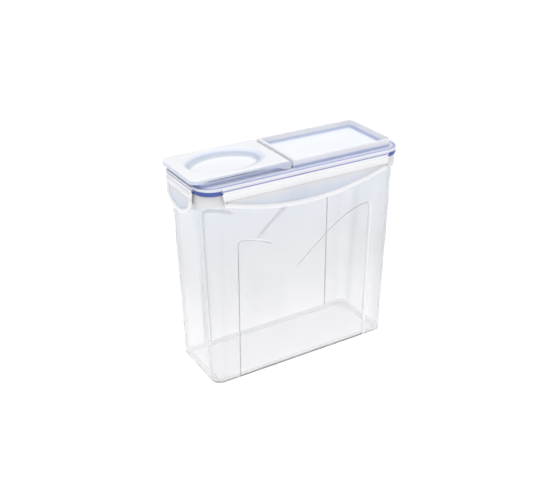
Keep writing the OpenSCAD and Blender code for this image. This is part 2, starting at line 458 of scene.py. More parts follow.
@dataclass(frozen=True)
class Plastic:
    """A moulded plastic or rubber, from clear to milky to solid.

    A faint flow pattern from the mould varies its colour, fine grain its gloss, and both its surface.

    Attributes:
        name: The material's name.
        heights: Colours by height, in metres, lowest first; in most of the finishes they hold painted light and shade.
        clear: Share of the light that passes through.
        rough: Least roughness.
        rough_more: Roughness that the patterns add.
        ior: Index of refraction.
        grain: Fineness of the grain.
        bump: Strength of the relief.
        edge: Colour of the painted shade seen at a glancing angle.
        edge_share: Its largest share.
        edge_from: How far off a straight look it starts, from 0 to 1.
        edge_to: Where it is full.
        corners: Distances on X between which it fades in towards a box's corners, or none.
        frosted: Start and end on X, half width and top of a matt floor, or none.
        seal: Half length and half width between the corners' centres, and corner radius, of a seal
            whose blue is painted on where it shows through, or none.
    """

    name: str
    heights: tuple[tuple[float, Triple], ...]
    clear: float = 1.0
    rough: float = 0.06
    rough_more: float = 0.05
    ior: float = 1.46
    grain: float = 900.0
    bump: float = 0.03
    edge: Triple = (0.30, 0.33, 0.46)
    edge_share: float = 0.0
    edge_from: float = 0.62
    edge_to: float = 1.0
    corners: Pair | None = None
    frosted: tuple[float, float, float, float] | None = None
    seal: Triple | None = None

    def tint(self, graph: Graph, point: Wire, height: Wire, flow: Wire) -> Wire:
        """Works out the colour: by height, deeper where the flow is thick, and with the seal's blue painted on where
        the seal shows through.

        Args:
            graph: The material's nodes.
            point: Object coordinates.
            height: Their height.
            flow: The flow pattern.

        Returns:
            The colour.
        """
        low, high = self.heights[0][0], self.heights[-1][0]
        stops = tuple(((z - low) / (high - low), tint) for z, tint in self.heights)
        colour = graph.add("ShaderNodeValToRGB", {"stops": stops}, {0: (height - low) * (1 / (high - low))})
        deeper = graph.add("ShaderNodeMix", {"data_type": "RGBA", "blend_type": "MULTIPLY"},
                           {0: flow.ramp(*FLOW_THICK) * FLOW_DEPTH, 6: colour, 7: colour}, 2)
        if not self.seal:
            return deeper
        # Painted on: the seal's blue, in a band over where the seal lies, as it would show through the lid.
        length, width, radius = self.seal
        x, y = ((abs(graph.axis(point, k)) - size).clamp() for k, size in ((0, length), (1, width)))
        out = (x * x + y * y) ** 0.5 - radius
        band = out.ramp(*SEAL_INSIDE) * out.ramp(*SEAL_OUTSIDE)
        return graph.mix(band * SEAL_SHARE, deeper, PAINTED_SEAL_TINT)

    def matt_floor(self, graph: Graph, point: Wire, height: Wire, flow: Wire, relief: Wire, shader: Wire) -> Wire:
        """Lays a frosted finish over the floor of the tray.

        Args:
            graph: The material's nodes.
            point: Object coordinates.
            height: Their height.
            flow: The flow pattern.
            relief: The surface's normal.
            shader: What it covers.

        Returns:
            The mixed shader.
        """
        matt = graph.principled({
            "Base Color": graph.mix(flow, *FROST_TINTS), "Roughness": flow * 0.1 + 0.3, "IOR": self.ior,
            "Transmission Weight": self.clear * FROST_CLEAR, "Normal": relief})
        x0, x1, half, top = self.frosted
        along, across = graph.axis(point, 0), abs(graph.axis(point, 1))
        floor = (along.ramp(x0, x0 + FROST_FADE) * along.ramp(x1, x1 - FROST_FADE)
                 * across.ramp(half, half - FROST_FADE) * height.ramp(top + FROST_FADE, top))
        return graph.blend(floor * FROST_SHARE, shader, matt)

    def painted_edge_shade(self, graph: Graph, point: Wire, flow: Wire, colour: Wire, shader: Wire) -> Wire:
        """Paints shade on what is seen at a glancing angle, darkening the silhouettes.

        Args:
            graph: The material's nodes.
            point: Object coordinates.
            flow: The flow pattern.
            colour: The plastic's colour.
            shader: What it covers.

        Returns:
            The mixed shader.
        """
        # Painted shade: a darker colour that takes over at a glancing angle, only near the corners where corners is
        # given.
        rim = graph.principled({"Base Color": graph.mix(flow, self.edge, colour), "Roughness": 0.3, "IOR": self.ior})
        facing = graph.add("ShaderNodeLayerWeight", {}, {"Blend": 0.5}, "Facing")
        share = facing.ramp(self.edge_from, self.edge_to) * self.edge_share
        if self.corners:
            share = (share * abs(graph.axis(point, 0)).ramp(*self.corners)
                     * abs(graph.axis(point, 1)).ramp(*EDGE_SHADE_CORNER_FADE))
        return graph.blend(share, shader, rim)

    def make(self) -> bpy.types.Material:
        """Builds the material.

        Returns:
            The material, ready for a slot.
        """
        material = bpy.data.materials.new(self.name)
        material.use_nodes = True
        graph = Graph(material.node_tree)
        point, height = graph.where()
        flow = graph.noise(graph.add("ShaderNodeMapping", {}, {"Vector": point, "Scale": FLOW_STRETCH}), FLOW_SCALE, 4)
        grain = graph.noise(point, self.grain, 2)
        colour = self.tint(graph, point, height, flow)
        relief = graph.add("ShaderNodeBump", {}, {"Strength": self.bump, "Distance": RELIEF,
                                                  "Height": flow * 0.7 + grain * 0.3})
        shader = graph.principled({
            "Base Color": colour, "Roughness": (flow * 0.6 + grain * 0.4) * self.rough_more + self.rough,
            "IOR": self.ior, "Transmission Weight": self.clear, "Normal": relief})
        if self.frosted:
            shader = self.matt_floor(graph, point, height, flow, relief, shader)
        if self.edge_share:
            shader = self.painted_edge_shade(graph, point, flow, colour, shader)
        graph.add("ShaderNodeOutputMaterial", {}, {"Surface": shader})
        return material


# Colours by height: near white at the bottom, where light from the floor beneath is painted in, greyer through the
# middle and bluish towards the collar; painted shade darkens the corners at a glancing angle.
WALL = Plastic("clear_wall_painted_light_and_shade", (
    (0.003, (0.985, 0.985, 0.99)), (0.012, (0.955, 0.955, 0.96)), (0.06, (0.915, 0.917, 0.922)),
    (0.11, (0.845, 0.85, 0.86)), (0.16, (0.855, 0.866, 0.885)), (0.19, (0.86, 0.877, 0.908)),
    (0.206, (0.86, 0.877, 0.908)), (0.2085, (0.93, 0.92, 0.92))),
    clear=0.9, rough=0.03, rough_more=0.04, ior=1.36, edge=(0.36, 0.40, 0.50), edge_share=0.24, edge_from=0.05,
    edge_to=0.8, corners=(0.085, 0.1))
COLLAR = Plastic("milky_collar", ((0.208, (0.90, 0.89, 0.90)), (0.2205, (0.87, 0.86, 0.87))), clear=0.35, rough=0.1,
                 ior=1.4)
# Painted highlight: the panels' slanted edges are whiter and hazier, standing in for the overhead light caught along
# them.
PANEL_EDGE_HIGHLIGHT = Plastic("panel_edge_painted_highlight", ((0.0, (0.97, 0.975, 0.985)), (0.2, (0.98, 0.985, 0.99))), clear=0.5, rough=0.12,
                     ior=1.4)
FOOT = Plastic("foot_rounding", ((0.0, (0.95, 0.95, 0.955)), (0.2, (0.95, 0.95, 0.955))), clear=0.74, rough=0.08,
               ior=1.3)
# Painted light: the navy band at the flange's foot, the blue band just above the deck and the band over the seal are
# the seal's blue as seen through the lid; the edges take painted shade at a glancing angle.
CLEAR_LID = Plastic("clear_lid_painted_seal_and_shade", (
    (0.2205, (0.90, 0.90, 0.94)), (0.2247, (0.80, 0.82, 0.92)), (0.2250, (0.20, 0.25, 0.55)),
    (0.2256, (0.24, 0.29, 0.60)), (0.2260, (0.86, 0.865, 0.92)), (0.22793, (0.88, 0.88, 0.93)),
    (0.2283, (0.56, 0.63, 0.88)), (0.2306, (0.60, 0.69, 0.92)), (0.2314, (0.92, 0.925, 0.965)),
    (0.2362, (0.95, 0.95, 0.975)), (0.2369, (0.965, 0.965, 0.98))),
    clear=0.15, rough=0.06, rough_more=0.06, edge_share=0.3, frosted=(-0.0085, 0.108, 0.036, 0.2295),
    seal=(0.1012, 0.0271, 0.016))
# Painted shade and highlight: by height, a dark band under the roll and the roll's top near white; the edges take
# painted shade at a glancing angle.
MILKY_SHADED = Plastic("milky_latch_painted_shade", (
    (0.19, (0.90, 0.90, 0.915)), (0.2125, (0.86, 0.86, 0.875)), (0.2145, (0.76, 0.755, 0.775)),
    (0.2180, (0.86, 0.862, 0.875)), (0.2215, (0.955, 0.958, 0.965))),
    clear=0.0, rough=0.22, rough_more=0.1, edge_share=0.3)
# Painted shade: the latches' pockets are darker than the rest of the latch, darkest just under the roll.
POCKET_SHADE = Plastic("milky_pocket_painted_shade", (
    (0.193, (0.82, 0.84, 0.88)), (0.200, (0.66, 0.71, 0.79)), (0.208, (0.70, 0.74, 0.81)),
    (0.2125, (0.76, 0.755, 0.77)), (0.2145, (0.58, 0.58, 0.61))),
    clear=0.0, rough=0.3, rough_more=0.1)
# Painted shade: the cap's top is near white and its sides greyer and bluer, as light falls on it; its edges take
# painted shade at a glancing angle.
CAP_MILK_SHADED = Plastic("milky_cap_painted_shade", (
    (0.2290, (0.94, 0.95, 0.965)), (0.2298, (0.91, 0.93, 0.96)), (0.2306, (0.82, 0.86, 0.93)),
    (0.2345, (0.72, 0.78, 0.92)), (0.2360, (0.78, 0.83, 0.93)), (0.2366, (0.88, 0.90, 0.95)),
    (0.23695, (0.955, 0.96, 0.97))),
    clear=0.15, rough=0.12, rough_more=0.1, edge_share=0.6, edge_from=0.5)
# Painted shade: the seal is darker towards its bottom.
NAVY = Plastic("navy_silicone_painted_shade", ((0.22, (0.05, 0.085, 0.35)), (0.225, (0.075, 0.12, 0.42))), clear=0.0, rough=0.34,
               rough_more=0.2, bump=0.1, grain=1500)


def dress(piece: bpy.types.Object, material: bpy.types.Material) -> None:
    """Gives a piece its finish.

    Args:
        piece: The mesh object.
        material: What it is made of.
    """
    if piece.data.materials:
        piece.data.materials[0] = material
    else:
        piece.data.materials.append(material)


def report(piece: bpy.types.Object) -> None:
    """Logs a finished piece."""
    LOG.info("%s: %d faces", piece.name, len(piece.data.polygons))


# ---------------------------------------------------------------------------------------------
# The dispenser
# ---------------------------------------------------------------------------------------------


@dataclass
class Container:
    """The tapered see-through box, with its collar and the set-in panels of its wide faces."""

    half_l: float = 117.0
    half_w: float = 42.9
    base_l: float = 110.6
    base_w: float = 41.2
    corner: float = 16.0
    base_corner: float = 11.0
    corner_steps: int = 18
    wall: float = 1.8
    floor: float = 2.2
    foot: float = 3.5
    collar_low: float = 208.0
    mouth: float = 220.5
    collar_out: float = 2.1
    panel_depth: float = 1.3
    inner_depth: float = 1.0
    slope: float = 1.3
    fade_line: tuple[Pair, Pair] = ((-37.0, 150.0), (-17.5, 116.5))
    fade_reach: float = 12.0
    fade_flat: float = 0.15
    grid: tuple[int, int] = (60, 64)
    grid_half: Pair = (90.0, 96.0)
    grid_middle: float = 86.0
    grid_depth: float = 8.0
    outline: tuple[Pair, ...] = (
        (-82, -5), (83.5, -5), (84.5, 167), (83.6, 170.5), (81, 172.6), (76.5, 173), (70, 172), (62, 170),
        (49, 164.9), (36.4, 157), (26.4, 150), (15.2, 141.2), (5.3, 133.4), (-3.5, 125.5), (-15.8, 114),
        (-22, 122), (-34, 145), (-39, 153), (-43, 156.8), (-50, 160), (-58, 163), (-65, 165.2), (-72, 166.5),
        (-77.5, 166.5), (-80.9, 165), (-82, 161.5))

    def ring(self, z: float, out: float = 0.0) -> Loop:
        """Draws the outside at a height.

        Args:
            z: Height, in millimetres.
            out: How far outside the tapered wall, negative for inside.

        Returns:
            The outline.
        """
        k = min(z, self.collar_low) / self.collar_low
        length = self.base_l + k * (self.half_l - self.base_l) + out
        width = self.base_w + k * (self.half_w - self.base_w) + out
        radius = self.base_corner + k * (self.corner - self.base_corner) + out
        return round_rect(-length, length, width, radius, z, self.corner_steps)

    def shell(self) -> bpy.types.Object:
        """Extrudes the wall from the floor, over the collar, and down to the inside of the floor.

        Returns:
            The closed shell, with plain wide faces.
        """
        foot, inner, out, low, top = self.foot, self.foot - 1.0, self.collar_out, self.collar_low, self.mouth
        turns = [math.radians(a) for a in (0, 22.5, 45, 67.5, 90)]
        skin = Skin("container_shell", self.ring(0, -foot - 6))
        skin.grow(*(self.ring(foot * (1 - math.cos(a)), -foot * (1 - math.sin(a))) for a in turns))
        skin.grow(self.ring(low - 0.5), self.ring(low - 0.1, 0.15), self.ring(low, 0.5), self.ring(low, out - 0.5),
                  self.ring(low + 0.15, out - 0.15), self.ring(low + 0.5, out), self.ring(top - 0.7, out),
                  self.ring(top - 0.2, out - 0.2), self.ring(top, out - 0.7), self.ring(top, 0.5 - self.wall),
                  self.ring(top - 0.2, 0.1 - self.wall), self.ring(top - 0.7, -self.wall),
                  self.ring(low, -self.wall))
        skin.grow(*(self.ring(self.floor + inner * (1 - math.cos(a)), -self.wall - inner * (1 - math.sin(a)))
                    for a in reversed(turns)))
        skin.grow(self.ring(self.floor, -self.wall - inner - 6)).cap()
        return skin.cap_start().finish()

    def face(self, x: float, z: float, depth: float, side: int) -> Vector:
        """Finds a point below the surface of a wide face."""
        width = self.base_w + (self.half_w - self.base_w) * z / self.collar_low
        return Vector((x, side * (width - depth), z))

    def moved_outline(self, inwards: float, lowest: float) -> list[Pair]:
        """Moves each edge of the panel's outline in or out.

        Args:
            inwards: Distance, negative for outwards.
            lowest: Height under which the outline doesn't go.

        Returns:
            The outline's corners, X and Z.
        """
        points = [Vector(p) for p in self.outline]
        moved = []
        for before, here, after in zip(points[-1:] + points, points, points[1:] + points[:1]):
            left = Vector((before.y - here.y, here.x - before.x)).normalized()
            right = Vector((here.y - after.y, after.x - here.x)).normalized()
            middle = (left + right).normalized()
            there = here + middle * inwards / max(0.5, middle.dot(left))
            moved.append((there.x, max(there.y, lowest)))
        return moved

    def fade(self, x: float, z: float) -> float:
        """Says how much of its depth the panel has at a place.

        Args:
            x: Place along the face.
            z: Height.

        Returns:
            A share, 0 along the line where the panel runs out into the plain face.
        """
        start, end = (Vector(p) for p in self.fade_line)
        along = end - start
        place_on = min(1.0, max(0.0, (Vector((x, z)) - start).dot(along) / along.length_squared))
        return eased((Vector((x, z)) - start - along * place_on).length / self.fade_reach - self.fade_flat)

    def slab(self, side: int, base: float, deep: float, inwards: float, lowest: float,
             finishes: Sequence[bpy.types.Material]) -> bpy.types.Object:
        """Makes the block that a panel is cut or filled with: slanted sides, and a floor that rises to nothing.

        Args:
            side: -1 for the front, 1 for the back.
            base: Depth of the plain surface that it starts from.
            deep: Its full depth under that surface.
            inwards: How far its outline stands inside the panel's.
            lowest: Height under which it doesn't go.
            finishes: The container's, with the wall's and the slanted edge's first.

        Returns:
            The block.
        """
        def level(depth: float) -> Loop:
            """Draws the prism's outline at a depth under its base."""
            return [self.face(x, z, base + depth, side)
                    for x, z in self.moved_outline(inwards + depth * self.slope, lowest)]

        rise = 0.25 if base else 1.0
        block = solid(f"panel_prism_{side}", [level(-rise), level(deep + 0.4)])
        for finish in finishes:
            block.data.materials.append(finish)
        # The slanted sides take the second finish, the whiter one with the painted highlight.
        for face in block.data.polygons:
            face.material_index = 1
        deselect()
        across, up = self.grid
        bpy.ops.mesh.primitive_grid_add(x_subdivisions=across, y_subdivisions=up, size=2, enter_editmode=True)
        field_block = bpy.context.object
        field_block.data.materials.append(finishes[0])
        mesh = bmesh.from_edit_mesh(field_block.data)
        for vertex in mesh.verts:
            x, z = vertex.co.x * self.grid_half[0], self.grid_middle + vertex.co.y * self.grid_half[1]
            vertex.co = self.face(x, z, base + deep * self.fade(x, z), side) * MM
        bmesh.update_edit_mesh(field_block.data)
        bpy.ops.mesh.extrude_region_move(TRANSFORM_OT_translate={"value": (0, side * self.grid_depth * MM, 0)})
        bpy.ops.mesh.select_all(action="SELECT")
        bpy.ops.mesh.normals_make_consistent(inside=False)
        deselect()
        combine(block, field_block, Solver.KEEP)
        return block

    def build(self, finish: bpy.types.Material, edge_finish: bpy.types.Material, foot_finish: bpy.types.Material,
              collar_finish: bpy.types.Material) -> None:
        """Models, dresses and hands over the container.

        Args:
            finish: Clear plastic, with painted light near the bottom and painted shade at its corners.
            edge_finish: The same plastic, whiter, for the panels' slanted edges, where it is a painted highlight.
            foot_finish: The same plastic, hazier, for the rounding under the walls.
            collar_finish: The same plastic, milky where it is thick, for the collar.
        """
        shell = self.shell()
        dress(shell, finish)
        finishes = (finish, edge_finish, foot_finish, collar_finish)
        for extra in finishes[1:]:
            shell.data.materials.append(extra)
        for face in shell.data.polygons:
            rounded = face.normal.z < -0.05 and len(face.vertices) < 5
            if rounded and face.center.z < self.foot * MM:
                face.material_index = finishes.index(foot_finish)
            elif face.center.z > self.collar_low * MM:
                face.material_index = finishes.index(collar_finish)
        for side in (-1, 1):
            combine(shell, self.slab(side, 0.0, self.panel_depth, 0.0, -5.0, finishes), Solver.CUT)
            combine(shell, self.slab(side, self.wall, self.inner_depth, self.wall, 1.0, finishes), Solver.JOIN)
        smooth(shell, 30)
        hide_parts("container")
        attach(shell, "container")
        report(shell)


@dataclass
class Latch:
    """One side latch: a roll along its top, a shallow pocket, a thick bowed lip and a catch behind."""

    half: float
    slant: float
    bow: float
    catch_half: float
    drop: float = 29.9
    plate: float = 1.5
    border: float = 1.6
    tilt: float = 3.0
    sunk_y: float = -0.75
    sunk_z: float = -7.0
    stations: int = 56

    def low(self, x: float) -> float:
        """Finds the height of the bowed lower edge at x."""
        chord = self.half - self.slant
        radius = (chord ** 2 + self.bow ** 2) / (2 * self.bow)
        return -self.drop + radius - math.sqrt(radius ** 2 - min(abs(x), chord) ** 2)

    def section(self, share: float) -> Loop:
        """Draws the latch's section at one place along it.

        Args:
            share: Where, from -1 at one end to 1 at the other.

        Returns:
            The section's points, in millimetres.
        """
        x = share * (self.half - 1.5)
        low = self.low(x)
        ease = 1 - max(0.0, (abs(x) - (self.half - 4.0)) / 2.5) ** 2 * 0.55
        pocket = eased((self.half - 5.5 - abs(x)) / 1.6)
        catch = 1.0 if abs(x) <= self.catch_half else 0.0
        edge, back = self.border, self.plate
        floor_y = -edge + (edge + 0.3) * pocket
        top, bottom = -8.0, low + 4.6
        if top < bottom + 1.0:
            top = bottom = (top + bottom) / 2
            top += 0.5
            bottom -= 0.5
        points = [(0.45, -0.7), (-0.35, -0.75), (-1.1, -1.4), (-1.75, -2.5), (-2.2, -3.8), (-2.3, -5.1),
                  (-2.05, -6.3), (-1.6, -7.1), (-edge + 0.3 * pocket, top + 0.5),
                  (floor_y - 0.5 * pocket, top - 0.3), (floor_y - 0.12 * pocket, top - 1.2),
                  (floor_y, top - 2.2), (floor_y, (top + bottom) / 2), (floor_y - 0.08 * pocket, bottom + 2.4),
                  (floor_y - 0.3 * pocket, bottom + 1.2), (floor_y - 0.7 * pocket, bottom + 0.5),
                  (-edge + 0.45 * pocket, bottom + 0.05), (-edge + 0.1 * pocket, bottom - 0.5),
                  (-edge, bottom - 1.2), (-edge, low + 1.8), (-edge + 0.15, low + 0.9), (-edge + 0.55, low + 0.25),
                  (-0.4, low), (0.5, low), (back - 0.35, low + 0.15), (back - 0.05, low + 0.6), (back, low + 1.1)]
        behind = [(back, -18.7), (back + 1.8 * catch, -16.0), (back + 1.8 * catch, -15.2), (back, -15.1)]
        points += [(y, max(z, low + 1.5 + 0.3 * k)) for k, (y, z) in enumerate(behind)]
        points += [(back, max(-12.5, low + 3)), (back, -6.0), (back, -1.6), (back - 0.3, -0.9)]
        return [Vector((share * (self.half - self.slant * (-0.7 - z) / (self.drop - 0.7)), y * ease, z))
                for y, z in points]

    def shares(self) -> list[float]:
        """Spreads the stations, closer at the ends and at the catch's ends.

        Returns:
            Places from -1 to 1.
        """
        inner = self.half - 1.5
        half = [k / (self.stations / 2) * 0.94 for k in range(self.stations // 2 + 1)]
        half += [(self.catch_half - 0.05) / inner, (self.catch_half + 0.05) / inner]
        half += [1 - d / inner for d in (0.0, 0.35, 0.9, 1.6, 2.4, 3.4, 4.4, 5.4)]
        half = sorted(set(round(s, 5) for s in half))
        return [-s for s in reversed(half[1:])] + half

    def model(self, name: str) -> bpy.types.Object:
        """Extrudes the section from end to end.

        Args:
            name: The piece's name.

        Returns:
            The latch as drawn for the front, its hinge line on X at the origin.
        """
        piece = solid(name, [self.section(share) for share in self.shares()])
        # The pocket's faces take the second slot, the finish with painted shade.
        for face in piece.data.polygons:
            sunk = face.center.y > self.sunk_y * MM and face.center.z < self.sunk_z * MM
            face.material_index = int(sunk and face.normal.y < -0.2)
        smooth(piece, 50, weighted=False)
        return piece


@dataclass
class Latches:
    """The four side latches and the strips that they swing on."""

    reach_w: float = 47.8
    reach_l: float = 121.9
    height: float = 222.7
    web: float = 0.8
    web_low: float = -0.68
    web_high: float = 1.3
    web_levels: int = 8
    long: Latch = field(default_factory=lambda: Latch(99.0, 5.0, 15.0, 78.0))
    short: Latch = field(default_factory=lambda: Latch(28.5, 3.0, 11.0, 19.0, stations=30))

    def strip(self, name: str, half: float) -> bpy.types.Object:
        """Models a bending strip, waisted at the hinge line.

        Args:
            name: The piece's name.
            half: Half of its length.

        Returns:
            The strip as drawn for the front.
        """
        loops = []
        for k in range(self.web_levels + 1):
            z = self.web_low + (self.web_high - self.web_low) * k / self.web_levels
            thin = self.web / 2 * (0.62 + 0.38 * min(1.0, abs(z) / 0.7))
            loops.append(round_rect(-half, half, thin, thin * 0.8, z, 2))
        piece = solid(name, loops)
        smooth(piece, 40, weighted=False)
        return piece

    def build(self, finish: bpy.types.Material, pocket: bpy.types.Material) -> None:
        """Models one long and one short latch, and puts a copy on each side.

        Args:
            finish: Milky plastic, with a painted shade band under the roll and a painted highlight on its top.
            pocket: The same plastic with painted shade, darker, for the latches' pockets.
        """
        long, short = self.long.model("latch_long"), self.short.model("latch_short")
        long_web, short_web = self.strip("web_long", self.long.half - 1), self.strip("web_short", self.short.half - 1)
        sides = (("front", 0, self.reach_w, long, long_web), ("back", 180, self.reach_w, long, long_web),
                 ("left", -90, self.reach_l, short, short_web), ("right", 90, self.reach_l, short, short_web))
        for side, turn, reach, latch, web in sides:
            piece = copy_of(latch, f"latch_{side}_shell")
            place(piece, turn, reach * MM, self.height * MM, self.long.tilt)
            dress(piece, finish)
            piece.data.materials.append(pocket)
            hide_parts(f"latch_{side}")
            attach(piece, f"latch_{side}")
            report(piece)
            strip = copy_of(web, f"hinge_strip_{side}")
            place(strip, turn, reach * MM, self.height * MM)
            dress(strip, finish)
            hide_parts(f"hinge_web_{side}")
            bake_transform(strip)
            report(strip)
        for model in (long, short, long_web, short_web):
            bpy.data.objects.remove(model)


@dataclass
class PourMouth:
    """The oval that the lid's neck, the cap's plug and its dish all follow."""

    middle: float = -72.0
    a: float = 40.0
    b: float = 28.0
    end_r: float = 20.0

    def ring(self, out: float, z: float, shift: float = 0.0) -> Loop:
        """Draws the oval at a height, out from the plug by out and moved along X by shift."""
        return oval(self.middle + shift, self.a + out, self.b + out, self.end_r + out, z)


BARREL_SIDES = 32


def barrel(name: str, x: float, z: float, radius: float, y0: float, y1: float, ease: float = 0.0) -> bpy.types.Object:
    """Models a round pin or a drill that lies along Y.

    Args:
        name: Its name.
        x: Where its axis is.
        z: Height of its axis.
        radius: Its radius.
        y0: One end.
        y1: The other end.
        ease: Rounding of its ends.

    Returns:
        The barrel.
    """
    rings = ((y0, radius - ease), (y0 + ease, radius), (y1 - ease, radius), (y1, radius - ease))
    loops = [side_view(arc((x, z), r, 0, 360 - 360 / BARREL_SIDES, BARREL_SIDES - 1), y)
             for y, r in (rings if ease else rings[::3])]
    return solid(name, loops)


@dataclass
class Lid:
    """The clear lid: flange, deck and skirt, the tray, the mouth's curb and neck, and the cap's hinge lugs."""

    mouth: PourMouth = field(default_factory=PourMouth)
    flange_l: float = 120.6
    flange_w: float = 46.5
    flange_r: float = 19.6
    skirt_l: float = 114.7
    skirt_w: float = 40.6
    skirt_r: float = 13.7
    skirt: float = 1.6
    skirt_low: float = 214.0
    flange_low: float = 225.0
    deck: float = 228.0
    deck_t: float = 2.0
    ledge_out: Pair = (48.5, 122.6)
    ledge_half: Pair = (99.0, 28.5)
    top: float = 237.0
    tray: Pair = (-13.3, 110.8)
    tray_w: float = 37.6
    tray_r: float = 7.0
    end_wall: float = 4.0
    rim: float = 2.2
    slope_from: float = 233.2
    slope: float = 1.8 / 3.8
    curb: Pair = (-117.5, -17.9)
    curb_w: float = 34.7
    curb_r: float = 8.0
    curb_t: float = 1.8
    curb_top: float = 232.2
    pin: Pair = (-18.6, 232.4)
    lug_r: float = 2.1
    lug_y: Pair = (32.1, 34.9)
    bore_r: float = 1.15

    def body(self) -> bpy.types.Object:
        """Extrudes flange, deck and skirt from the deck's middle round to its underside.

        Returns:
            The lid without what stands on it.
        """
        def flange(inwards: float, z: float) -> Loop:
            """Draws the flange's outline, inwards from its edge."""
            return round_rect(-self.flange_l + inwards, self.flange_l - inwards, self.flange_w - inwards,
                              self.flange_r - inwards, z)

        def skirt(inwards: float, z: float) -> Loop:
            """Draws the skirt's outline, inwards from its face."""
            return round_rect(-self.skirt_l + inwards, self.skirt_l - inwards, self.skirt_w - inwards,
                              self.skirt_r - inwards, z)

        low, deck, foot, thick = self.flange_low, self.deck, self.skirt_low, self.skirt
        skin = Skin("lid_shell", flange(7.0, deck))
        skin.grow(flange(1.0, deck), flange(0.35, deck - 0.1), flange(0.08, deck - 0.4), flange(0, deck - 0.9),
                  flange(0, low + 0.6), flange(0.15, low + 0.15), flange(0.6, low), skirt(-0.3, low),
                  skirt(0, low - 0.3), skirt(0, foot + 1.4), skirt(0.35, foot + 0.3), skirt(0.7, foot),
                  skirt(thick - 0.35, foot), skirt(thick, foot + 0.35), skirt(thick, deck - self.deck_t - 1.2),
                  skirt(thick + 0.4, deck - self.deck_t - 0.4), skirt(thick + 1.2, deck - self.deck_t),
                  skirt(thick + 5, deck - self.deck_t))
        return skin.cap().cap_start().finish()

    def ledges(self) -> list[bpy.types.Object]:
        """Models the four ledges that the latches' strips hang from.

        Returns:
            The ledges.
        """
        pieces = []
        for turn, which in ((0, 0), (180, 0), (90, 1), (-90, 1)):
            reach, wide = self.ledge_out[which], self.ledge_half[which]
            low, high, back = self.flange_low - 1.0, self.deck, reach - 2.2
            shape = [(-back, low), (-reach + 0.25, low), (-reach, low + 0.3), (-reach, high - 1.2),
                     (-reach + 0.35, high - 0.35), (-reach + 1.2, high), (-back, high)]
            ledge = solid("ledge", [[Vector((x, y, z)) for y, z in shape] for x in (-wide, wide)])
            place(ledge, turn, 0.0, 0.0)
            pieces.append(ledge)
        return pieces

    def tray_block(self) -> bpy.types.Object:
        """Models the tray: a rim with a rounded top, a sloped end towards the cap, and a filleted floor.

        Returns:
            The tray, its foot sunk in the deck.
        """
        (x0, x1), wide, corner = self.tray, self.tray_w, self.tray_r

        def outside(inwards: float, z: float) -> Loop:
            """Draws the rim's outside."""
            lean = max(0.0, z - self.slope_from) * self.slope
            return round_rect(x0 + lean + inwards, x1 - inwards, wide - inwards, corner - inwards, z,
                              left=1.0 - min(inwards, 0.5))

        def inside(inwards: float, z: float) -> Loop:
            """Draws the rim's inside."""
            rim, end = self.rim + inwards, self.end_wall + inwards
            return round_rect(x0 + end, x1 - rim, wide - rim, max(0.6, corner - rim), z,
                              left=max(0.6, 4.8 - inwards))

        top, floor = self.top, self.deck + 0.1
        skin = Skin("tray", outside(0, self.deck - 0.6))
        skin.grow(outside(0, self.slope_from), outside(0, top - 1.0), outside(0.1, top - 0.5),
                  outside(0.4, top - 0.12), outside(0.85, top), inside(-0.75, top), inside(-0.3, top - 0.15),
                  inside(-0.05, top - 0.5), inside(0, top - 1.0), inside(0, floor + 2.8),
                  inside(0.25, floor + 1.5), inside(0.85, floor + 0.6), inside(1.7, floor + 0.12),
                  inside(2.8, floor), inside(4.2, floor))
        return skin.cap().cap_start().finish()

    def curb_ring(self) -> bpy.types.Object:
        """Models the low wall round the mouth, open towards the tray.

        Returns:
            The wall.
        """
        (x0, x1), wide = self.curb, self.curb_w

        def at(inwards: float, z: float) -> Loop:
            """Draws the wall's outline, inwards from its outside."""
            return round_rect(x0 + inwards, x1 + 20 - inwards, wide - inwards, self.curb_r - inwards, z)

        thick, top, foot = self.curb_t, self.curb_top, self.deck - 0.5
        loops = [at(0, foot), at(0, top - 0.6), at(0.18, top - 0.15), at(0.6, top), at(thick - 0.6, top),
                 at(thick - 0.18, top - 0.15), at(thick, top - 0.6), at(thick, foot)]
        ring = tube("curb", loops)
        box = [round_rect(x1, x1 + 60, 60, 1, z, 1) for z in (foot - 5, top + 5)]
        combine(ring, solid("curb_end", box), Solver.CUT)
        return ring

    def neck(self) -> bpy.types.Object:
        """Models the mouth's neck, thinner under the deck.

        Returns:
            The neck.
        """
        ring, top, low = self.mouth.ring, self.curb_top, self.flange_low - 4.2
        loops = [ring(1.6, low + 0.3), ring(1.9, low), ring(2.2, low), ring(2.5, low + 0.3),
                 ring(2.5, self.deck - 0.4), ring(3.4, self.deck - 0.4), ring(3.4, top - 0.6), ring(3.2, top - 0.15),
                 ring(2.8, top), ring(2.2, top), ring(1.8, top - 0.15), ring(1.6, top - 0.6)]
        return tube("neck", loops)

    def lug(self, side: int) -> bpy.types.Object:
        """Models one hinge lug, round at its top.

        Args:
            side: -1 for the front, 1 for the back.

        Returns:
            The lug.
        """
        x, z = self.pin
        foot = self.deck - 0.5
        y0, y1 = self.lug_y

        def outline(less: float, y: float) -> Loop:
            """Draws the lug's side view, a little smaller by less."""
            r = self.lug_r - less
            return side_view([(x + 0.8 - less, foot), *arc((x, z), r, 0, 180, 16), (x - r, foot)], side * y)

        loops = [outline(0.25, y0), outline(0, y0 + 0.25), outline(0, y1 - 0.25), outline(0.25, y1)]
        return solid("lug", loops)

